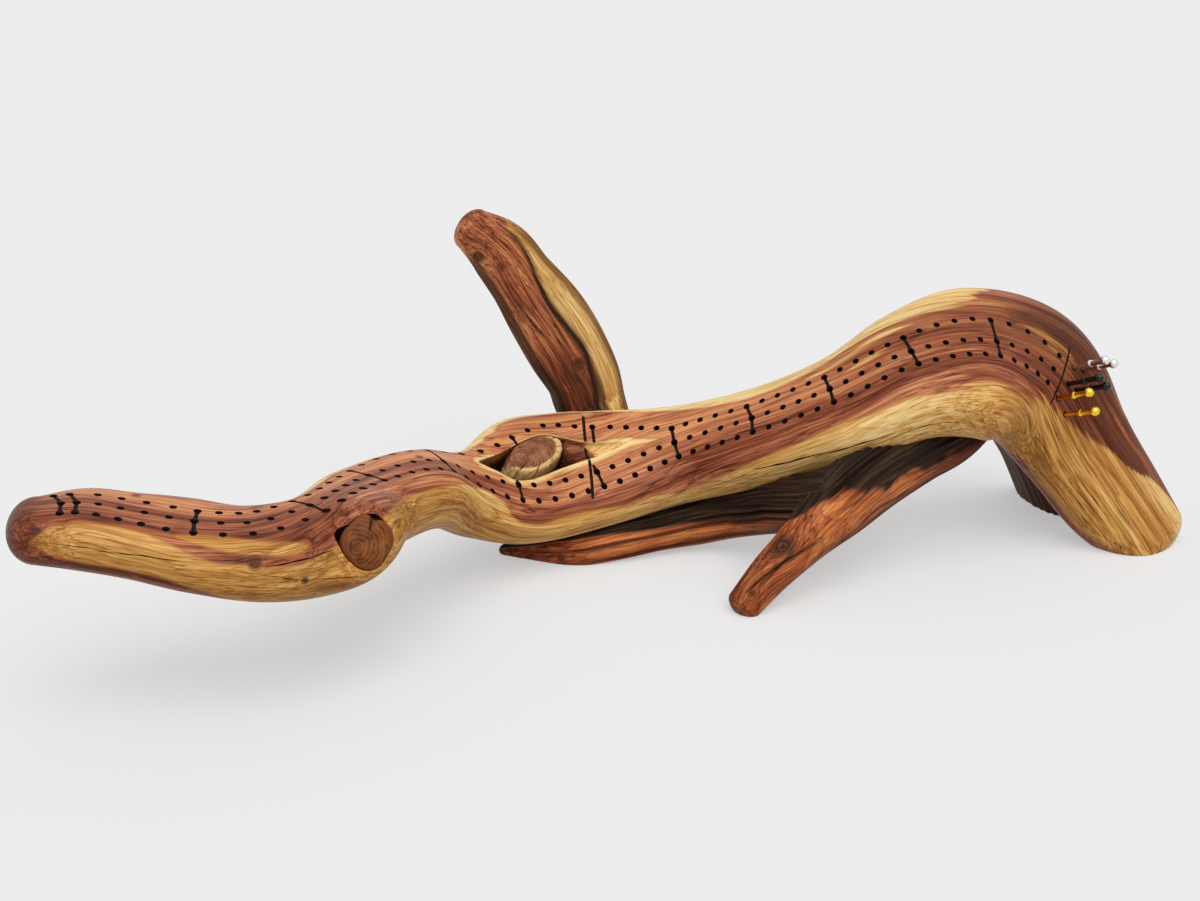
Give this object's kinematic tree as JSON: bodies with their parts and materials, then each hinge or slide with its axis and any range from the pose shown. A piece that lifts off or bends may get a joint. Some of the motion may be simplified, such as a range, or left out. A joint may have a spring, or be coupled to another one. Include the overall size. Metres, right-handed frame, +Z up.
{
  "type": "cribbage board",
  "caption": "Freeform cribbage board: a winding trunk of polished red cedar on natural limb legs, with tracks of peg holes along its deck and turned metal pegs.",
  "frame": {"origin": "middle of the whole object in plan, on the table that it stands on", "axes": "+X along the trunk from the free left end to the heel on the right, +Y to the back where the upright limb stands, +Z up"},
  "size_m": [0.5954, 0.1843, 0.1796],
  "materials": {
    "heartwood": "red-brown heartwood with golden sapwood, sanded and oiled to a satin sheen",
    "dark_knot": "dark knot wood with growth rings, satin",
    "pale_dowel": "plain hardwood dowel, unfinished",
    "gold_peg": "polished",
    "black_peg": "gloss black lacquer on metal",
    "silver_peg": "polished chrome plating"
  },
  "bodies": {
    "board": {"trunk_board": "heartwood", "upright_limb": "heartwood", "prop_limb": "heartwood", "under_limb": "heartwood", "rear_leg": "heartwood", "window_knot": "dark_knot", "face_knot": "dark_knot", "upright_dowel": "pale_dowel", "prop_dowel": "pale_dowel", "rear_dowel": "pale_dowel", "fork_dowel": "pale_dowel"},
    "peg_gold_1_body": {"peg_gold_1": "gold_peg"},
    "peg_gold_2_body": {"peg_gold_2": "gold_peg"},
    "peg_black_1_body": {"peg_black_1": "black_peg"},
    "peg_black_2_body": {"peg_black_2": "black_peg"},
    "peg_silver_1_body": {"peg_silver_1": "silver_peg"},
    "peg_silver_2_body": {"peg_silver_2": "silver_peg"}
  },
  "joints": [
    {"name": "peg_gold_1_slide", "type": "slide", "parent": "board", "child": "peg_gold_1_body", "axis": [0.1273, -0.9059, 0.4039], "range_m": [0, 0.012]},
    {"name": "peg_gold_2_slide", "type": "slide", "parent": "board", "child": "peg_gold_2_body", "axis": [0.0615, -0.9299, 0.3626], "range_m": [0, 0.012]},
    {"name": "peg_black_1_slide", "type": "slide", "parent": "board", "child": "peg_black_1_body", "axis": [0.1273, -0.9059, 0.4039], "range_m": [0, 0.012]},
    {"name": "peg_black_2_slide", "type": "slide", "parent": "board", "child": "peg_black_2_body", "axis": [0.0886, -0.9215, 0.3781], "range_m": [0, 0.012]},
    {"name": "peg_silver_1_slide", "type": "slide", "parent": "board", "child": "peg_silver_1_body", "axis": [0.1433, -0.8977, 0.4168], "range_m": [0, 0.012]},
    {"name": "peg_silver_2_slide", "type": "slide", "parent": "board", "child": "peg_silver_2_body", "axis": [0.1143, -0.9118, 0.3945], "range_m": [0, 0.012]}
  ]
}
